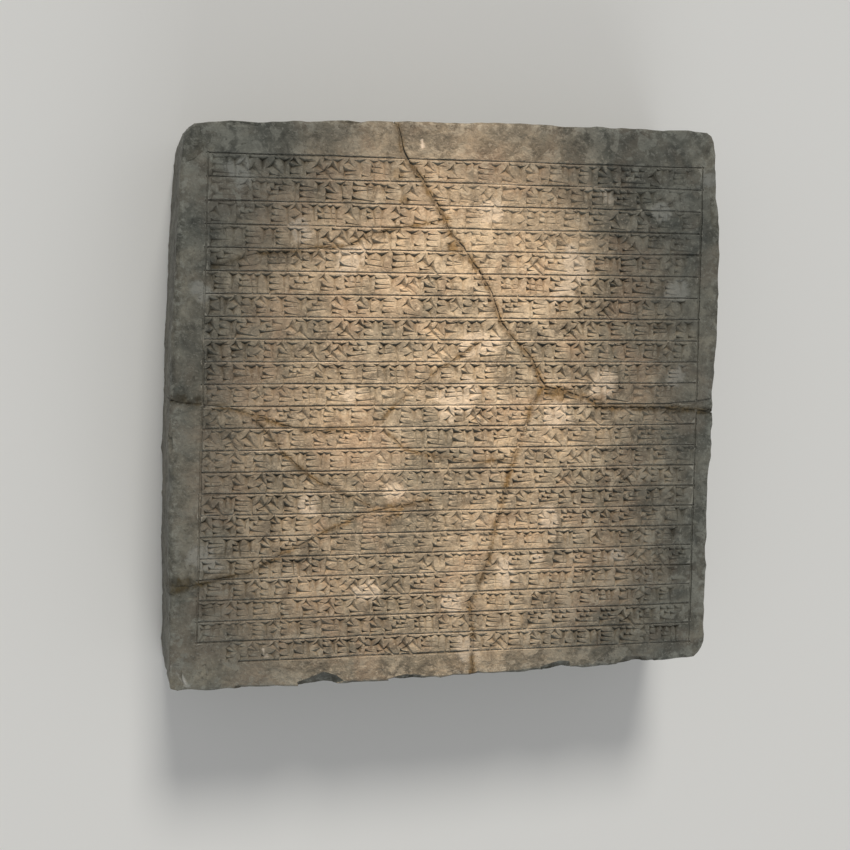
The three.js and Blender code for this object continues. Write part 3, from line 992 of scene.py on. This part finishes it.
def distance_to_run(run):
    """How far each point is from a run of points."""
    run = np.array([point[:2] for point in run])
    best = np.full(len(flat), 1.0)
    for a, b in zip(run[:-1], run[1:]):
        d = b - a
        t = np.clip(((flat - a) @ d) / (d @ d), 0, 1)
        best = np.minimum(best, np.linalg.norm(flat - (a + t[:, None] * d), axis=1))
    return best


def distance_to_spot(x, y):
    """How far each point is from a place in millimetres."""
    return np.linalg.norm(flat - np.array([x, y]) * mm, axis=1)


crack_away = np.full(len(flat), too_far)
for name, run in zip(crack_points, crack_runs):
    faint = (crack_widths["upper"] - crack_widths[name]) * faint_by
    crack_away = np.minimum(crack_away, distance_to_run(run) + faint)
for x, y, reach in brown_spots:
    apart = np.clip(distance_to_spot(x, y) - reach * mm, spot_away, None)
    crack_away = np.minimum(crack_away, apart)
crack_away += side_fade * np.clip(slab_thickness - co[:, 2], 0, None)
crack_away = np.clip(crack_away, 0, too_far)
rule_away = np.min([distance_to_run(run) for run in ruling_runs], axis=0)
rule_away = np.where(near_top, np.minimum(rule_away, too_far / 2), too_far / 2)
mark_away = np.min([distance_to_run(np.array(mark) * mm) for mark in white_marks], axis=0)
mark_away = np.minimum(mark_away, too_far)
print("stained points", int((crack_away < 1 * mm).sum()), "ruled", int((rule_away < 1 * mm).sum()))

# %% Where the stone is pale, tooled or crumbled
pale_core, pale_fall, pale_ragged = 1.5, 0.9, 0.9
crumb_core, crumb_reach = 1.15, 1.1
tooled_from = 5 * mm

ragged_edge = np.array([rough(Vector((x, y, 0.4)), 75, 3) for x, y in flat])
pale = np.zeros(len(flat))
for x, y, reach in pale_patches:
    apart = distance_to_spot(x, y) / (reach * mm)
    patch = np.clip(pale_core - pale_fall * apart - pale_ragged * ragged_edge, 0, 1)
    pale = np.maximum(pale, patch)
pale *= near_top
tooled = np.clip((slab_thickness - co[:, 2] - tooled_from) / edge_band, 0, 1)
crumb = np.exp(-(edge_gap / edge_band) ** 2) * (co[:, 2] > slab_thickness - 2 * edge_band)
for (x, y), reach, more in corner_wear:
    apart = distance_to_spot(x, y) / (reach * crumb_reach * mm)
    crumb = np.maximum(crumb, np.clip(crumb_core - apart, 0, 1) * min(1.0, more / 2))
to_cm = 100
measured = {"pit_dirt_and_shade": pit_dirt_and_shade, "crack_away": crack_away * to_cm, "mark_away": mark_away * to_cm,
            "rule_away": rule_away * to_cm, "pale": pale, "tooled": tooled, "crumb": crumb}
for label, values in measured.items():
    keep(carved, label, "FLOAT", values)
print("measured", list(measured))

# %% [markdown]
# ## The stone
# The stone is a hard grey limestone with buff clouds, close to marble. Big soft clouds come from
# one noise and mottling from a finer one. All else lies over them like thin coats: a mask says
# where a coat lies, and a strength how much of it shows. The noise reads Object coordinates in
# metres, so the grain has its true size, and the carving's stains, dirt and painted shade in the pits
# read the measured attributes.

# %% Tools for the stone
stone.use_nodes = True
stone_tree = stone.node_tree
stone_shader = stone_tree.nodes["Principled BSDF"]
stone_place = stone_tree.nodes.new("ShaderNodeTexCoord").outputs["Object"]


def cloud(scale, detail, warp=0.0, roughness=0.55):
    """Noise from 0 to 1; scale is in bumps per metre."""
    return add_node(stone_tree, "ShaderNodeTexNoise", [
        ("Vector", stone_place), ("Scale", scale), ("Detail", detail), ("Roughness", roughness),
        ("Distortion", warp)]).outputs["Fac"]


def ramp(source, stops):
    """A value turned into a grey or a colour by its stops."""
    node = add_node(stone_tree, "ShaderNodeValToRGB", [("Fac", source)])
    elements = node.color_ramp.elements
    while len(elements) < len(stops):
        elements.new(0.5)
    for element, (position, colour) in zip(elements, stops):
        element.position = position
        element.color = (*colour, 1) if isinstance(colour, tuple) else (colour,) * 3 + (1,)
    return node.outputs["Color"]


def over(source, low, high):
    """A soft mask: 0 where a value is under low, 1 where it is over high."""
    return ramp(source, [(low, 0.0), (high, 1.0)])


def blend(kind, amount, under, above):
    """Two colours blended. A colour is three numbers or another node's output."""
    pair = [(*value, 1) if isinstance(value, tuple) else value for value in (under, above)]
    return add_node(stone_tree, "ShaderNodeMix", [(0, amount), (6, pair[0]), (7, pair[1])],
                    data_type="RGBA", blend_type=kind).outputs[2]


def times(first, second):
    """Two values multiplied."""
    return maths(stone_tree, "MULTIPLY", first, second)


def measured_at(label, grain=None, amount=0.0):
    """A measured attribute, made ragged by some noise where one is given."""
    value = add_node(stone_tree, "ShaderNodeAttribute", attribute_name=label).outputs["Fac"]
    if grain is None:
        return value
    return maths(stone_tree, "ADD", value, times(maths(stone_tree, "SUBTRACT", grain, 0.5), amount))


print("tools ready for", stone.name)

# %% Clouds, mottling and coats
clouds = ramp(cloud(13, 5, 0.5), [
    (0.36, (0.075, 0.078, 0.066)), (0.46, (0.101, 0.100, 0.082)),
    (0.54, (0.134, 0.127, 0.101)), (0.66, (0.180, 0.166, 0.129))])
mottle = ramp(cloud(85, 7, 0.6, 0.72), [(0.37, 0.50), (0.5, 1.0), (0.61, 1.48)])
colour = blend("MULTIPLY", 0.9, clouds, mottle)

tooled_at, pale_at = measured_at("tooled"), measured_at("pale")
crystals = ramp(cloud(8, 3), [(0.42, 0.1), (0.54, 1.0)])
large = times(over(cloud(44, 4, 0.5, 0.55), 0.56, 0.61), crystals)
small = times(over(cloud(105, 4, 0.5, 0.55), 0.565, 0.615), crystals)
torn = over(measured_at("pale", cloud(100, 6, 0.8, 0.7), 2.4), 0.40, 0.82)
patch = times(torn, over(pale_at, 0.05, 0.45))
veins = ramp(cloud(9, 3, 0.9, 0.5), [(0.492, 0.0), (0.5, 1.0), (0.508, 0.0)])
crumbs = times(measured_at("crumb"), over(cloud(240, 4, 0.3, 0.7), 0.50, 0.60))
coats = [
    ("grey", over(cloud(24, 5, 1.0, 0.65), 0.50, 0.58), 0.40, (0.086, 0.092, 0.081)),
    ("rosy", over(cloud(31, 4, 0.7), 0.50, 0.64), 0.45, (0.172, 0.144, 0.110)),
    ("tooled sides", tooled_at, 0.45, (0.142, 0.133, 0.108)),
    ("large crystals", large, 0.45, (0.216, 0.216, 0.183)),
    ("small crystals", small, 0.60, (0.216, 0.216, 0.183)),
    ("pale patches", patch, 0.74, (0.252, 0.252, 0.226)),
    ("veins", veins, 0.22, (0.208, 0.203, 0.172)),
    ("pale specks", over(cloud(560, 2), 0.58, 0.66), 0.35, (0.264, 0.262, 0.224)),
    ("dark specks", over(cloud(480, 2, 0.2), 0.62, 0.72), 0.55, (0.044, 0.041, 0.031)),
    ("crumbs", crumbs, 0.50, (0.320, 0.325, 0.284)),
]
for label, mask, strength, shade in coats:
    colour = blend("MIX", times(mask, strength), colour, shade)
print("coats", [coat[0] for coat in coats])

# %% Fill, marks, bruises, and dirt with painted shade in the pits
crack_edge = measured_at("crack_away", cloud(230, 5, 0.8, 0.75), 0.6)
filled = ramp(crack_edge, [(0.07, 1.0), (0.14, 0.8), (0.22, 0.35), (0.38, 0.0)])
broken_up = ramp(cloud(60, 4, 0.6, 0.65), [(0.40, 0.38), (0.55, 1.0)])
rust = ramp(cloud(120, 3, 0.4), [(0.44, (0.034, 0.028, 0.015)), (0.60, (0.082, 0.061, 0.026))])
colour = blend("MIX", times(filled, broken_up), colour, rust)
marked = ramp(measured_at("mark_away", cloud(300, 3), 0.3), [(0.06, 0.75), (0.17, 0.0)])
colour = blend("MIX", marked, colour, (0.50, 0.485, 0.44))
bruised = times(ramp(measured_at("rule_away"), [(0.03, 1.0), (0.075, 0.0)]),
                ramp(cloud(40, 3), [(0.35, 0.5), (0.6, 1.0)]))
colour = blend("MIX", bruised, colour, (0.330, 0.320, 0.272))
# Darker with depth in strokes, rulings and cracks: partly dirt, partly painted shade that deepens the
# shadows in the pits.
colour = blend("MULTIPLY", times(measured_at("pit_dirt_and_shade"), 0.75), colour, (0.46, 0.39, 0.30))
stone_tree.links.new(colour, stone_shader.inputs["Base Color"])
print("nodes for the colour", len(stone_tree.nodes))

# %% Gloss and fine relief
gloss = ramp(cloud(90, 4), [(0.3, 0.52), (0.7, 0.78)])
stone_tree.links.new(gloss, stone_shader.inputs["Roughness"])
stone_shader.inputs["Specular IOR Level"].default_value = 0.35

furrows = add_node(stone_tree, "ShaderNodeTexWave", [
    ("Vector", stone_place), ("Scale", 42), ("Distortion", 7), ("Detail", 3),
    ("Detail Scale", 1.5)], bands_direction="DIAGONAL").outputs["Fac"]
heights = {
    "grain": (cloud(1500, 3, 0.0, 0.7), 0.12 * mm),
    "pits": (cloud(520, 4, 0.3, 0.7), 0.6 * mm),
    "swells": (cloud(185, 4, 0.2, 0.6), 2.2 * mm),
    "tool marks": (times(furrows, tooled_at), 1.8 * mm),
}
relief = 0.0
for source, height in heights.values():
    relief = maths(stone_tree, "ADD", relief, times(source, height))
worn = add_node(stone_tree, "ShaderNodeBevel", [("Radius", 0.4 * mm)], samples=6)
bump = add_node(stone_tree, "ShaderNodeBump", [
    ("Height", relief), ("Distance", 1.0), ("Strength", 0.8), ("Normal", worn.outputs["Normal"])])
stone_tree.links.new(bump.outputs["Normal"], stone_shader.inputs["Normal"])
print("relief", list(heights), "nodes in all", len(stone_tree.nodes))

# %% [markdown]
# ## Floor and light
# The floor is plain and pale. A soft even light comes low across the face from beyond the first
# row, so the upper wall of each stroke is dark and the lower one bright, and a weak one from the
# other side keeps the shadows open. A warm lamp brightens the middle of the slab, and only the slab.

# %% Floor
floor_mesh = bpy.data.meshes.new("floor")
floor_reach = 40
floor_corners = [(x * floor_reach, y * floor_reach, 0) for x, y in ((-1, -1), (1, -1), (1, 1), (-1, 1))]
floor_mesh.from_pydata(floor_corners, [], [(0, 1, 2, 3)])
floor = put_in_scene("floor", floor_mesh)
paper = bpy.data.materials.new("pale_floor")
paper.use_nodes = True
paper_shader = paper.node_tree.nodes["Principled BSDF"]
paper_shader.inputs["Base Color"].default_value = (0.86, 0.85, 0.83, 1)
paper_shader.inputs["Roughness"].default_value = 0.9
floor_mesh.materials.append(paper)
print("floor", 2 * floor_reach, "m a side")

# %% Lights
def lamp(name, kind, place, aim, **settings):
    """A light at a place, turned towards an aim."""
    data = bpy.data.lights.new(name, kind)
    for label, value in settings.items():
        setattr(data, label, value)
    made = put_in_scene(name, data)
    turn = (Vector(aim) - Vector(place)).to_track_quat("-Z", "Y").to_matrix().to_4x4()
    made.matrix_world = Matrix.Translation(place) @ turn
    return made


lamp("key", "SUN", (0.05, 1.20, 1.00), (0, 0, 0), energy=1.45, color=(1.0, 0.985, 0.93),
     angle=math.radians(16))
lamp("fill", "SUN", (0.3, -1.7, 0.8), (0, 0, 0), energy=0.6, color=(0.95, 0.99, 1.0),
     angle=math.radians(40))
pool = lamp("pool", "SPOT", (0.04, 0.86, 0.84), (-0.004, -0.002, 0.085), energy=205,
            color=(1.0, 0.69, 0.46), shadow_soft_size=0.03, spot_size=math.radians(14.8),
            spot_blend=0.95)
lit_by_pool = bpy.data.collections.new("lit_by_pool")
lit_by_pool.objects.link(slab)
pool.light_linking.receiver_collection = lit_by_pool

# %% The world
world = bpy.data.worlds.new("studio")
world.use_nodes = True
sky = world.node_tree.nodes["Background"].inputs
sky["Color"].default_value = (0.96, 0.97, 0.98, 1)
sky["Strength"].default_value = 0.34
bpy.context.scene.world = world
bpy.context.scene.view_settings.view_transform = "Standard"
bpy.context.scene.cycles.use_denoising = True
print("sky strength", round(sky["Strength"].default_value, 2))

# %% [markdown]
# ## Hand the slab to the frame
# The carved stone takes the place of the plain solid and rides on the one body there is.

# %% Finish
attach(slab, "root")
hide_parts("inscribed_slab")
